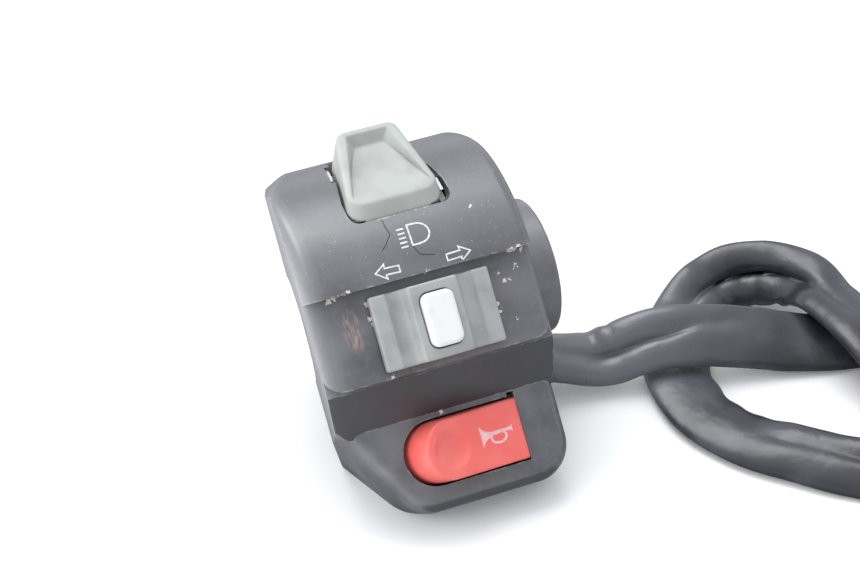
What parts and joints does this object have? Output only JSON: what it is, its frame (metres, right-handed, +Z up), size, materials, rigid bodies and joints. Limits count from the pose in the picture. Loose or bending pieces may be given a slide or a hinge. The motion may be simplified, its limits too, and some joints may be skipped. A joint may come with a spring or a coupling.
{
  "type": "handlebar switch cluster",
  "caption": "Left handlebar switch cluster: dip rocker, sliding turn switch with cancel button, horn button, two-shell bar clamp casing and loom with connector.",
  "frame": {"origin": "on the axis of the handlebar bore, at the middle of the casing's width", "axes": "+X along the bar towards its inboard end, +Z up with the casing lying on its slanted back, +Y away from the rider's side of the picture"},
  "size_m": [0.1855, 0.1235, 0.0642],
  "materials": {
    "black_paint": "worn satin black paint on a cast alloy shell, chipped and scuffed",
    "grey_rocker": "moulded warm grey plastic, satin, yellowed at its edges",
    "grey_knob": "moulded mid grey plastic, satin",
    "white_cap": "moulded white plastic",
    "white_nylon": "natural white nylon",
    "red_plastic": "moulded bright red plastic",
    "board": "brown phenolic board",
    "black_plastic": "black moulded plastic",
    "steel_pin": "bright steel pin",
    "screw_steel": "zinc plated steel screw",
    "spring_steel": "spring steel wire",
    "copper": "copper contact metal",
    "brass_part": "brass",
    "grommet_rubber": "black rubber",
    "sleeve_vinyl": "soft black vinyl sleeve, semi-gloss",
    "tape": "black vinyl tape",
    "wire_insulation": "vinyl insulated wires",
    "connector_nylon": "natural nylon housing"
  },
  "bodies": {
    "casing": {"cable_grommet": "grommet_rubber", "case_screws": "screw_steel", "connector_housing": "connector_nylon", "connector_terminals": "brass_part", "connector_wires": "wire_insulation", "dip_contact_board": "board", "dip_contact_rivets": "brass_part", "dip_cradle": "white_nylon", "dip_cradle_screws": "screw_steel", "dip_pivot_pin": "steel_pin", "front_shell": "black_paint", "horn_base": "board", "horn_base_screws": "screw_steel", "horn_contact_blade": "copper", "horn_fixed_contact": "brass_part", "horn_pivot_pin": "steel_pin", "horn_spring": "spring_steel", "indicator_base": "board", "indicator_base_screws": "screw_steel", "indicator_contacts": "brass_part", "inner_wires": "wire_insulation", "loom_sleeve": "sleeve_vinyl", "rear_shell": "black_paint", "sleeve_end_tape": "tape"},
    "dip_rocker": {"dip_rocker": "grey_rocker"},
    "dip_slider": {"dip_slider": "black_plastic", "dip_bridges": "copper"},
    "indicator": {"indicator_knob": "grey_knob", "indicator_carrier": "black_plastic", "indicator_bridge": "copper", "detent_ball": "steel_pin", "detent_spring": "spring_steel", "cancel_spring": "spring_steel"},
    "cancel_button": {"cancel_button": "white_cap"},
    "horn_button": {"horn_button": "red_plastic"}
  },
  "joints": [
    {"name": "dip_rocker_tilt", "type": "hinge", "parent": "casing", "child": "dip_rocker", "pos_m": [0, 0.00681, 0.0213], "axis": [1, 0, 0], "range_deg": [-14, 0]},
    {"name": "dip_slider_slide", "type": "slide", "parent": "casing", "child": "dip_slider", "axis": [0, 0.6984, 0.7157], "range_m": [-0.00147, 0]},
    {"name": "indicator_slide", "type": "slide", "parent": "casing", "child": "indicator", "axis": [1, 0, 0], "range_m": [-0.0035, 0.0035]},
    {"name": "cancel_push", "type": "slide", "parent": "indicator", "child": "cancel_button", "axis": [0, 0.7157, -0.6984], "range_m": [0, 0.0018], "stiffness_N_per_m": 600, "springref_m": -0.0008, "deforming": ["cancel_spring"]},
    {"name": "horn_press", "type": "hinge", "parent": "casing", "child": "horn_button", "pos_m": [0.0163, -0.02977, -0.01475], "axis": [0, -0.6984, -0.7157], "range_deg": [0, 6], "stiffness_Nm_per_rad": 0.25, "springref_deg": -2.86, "deforming": ["horn_spring"]}
  ],
  "couplings": [
    {"joint": "dip_rocker_tilt", "follows": "dip_slider_slide", "rad_per_m": 166.67}
  ]
}
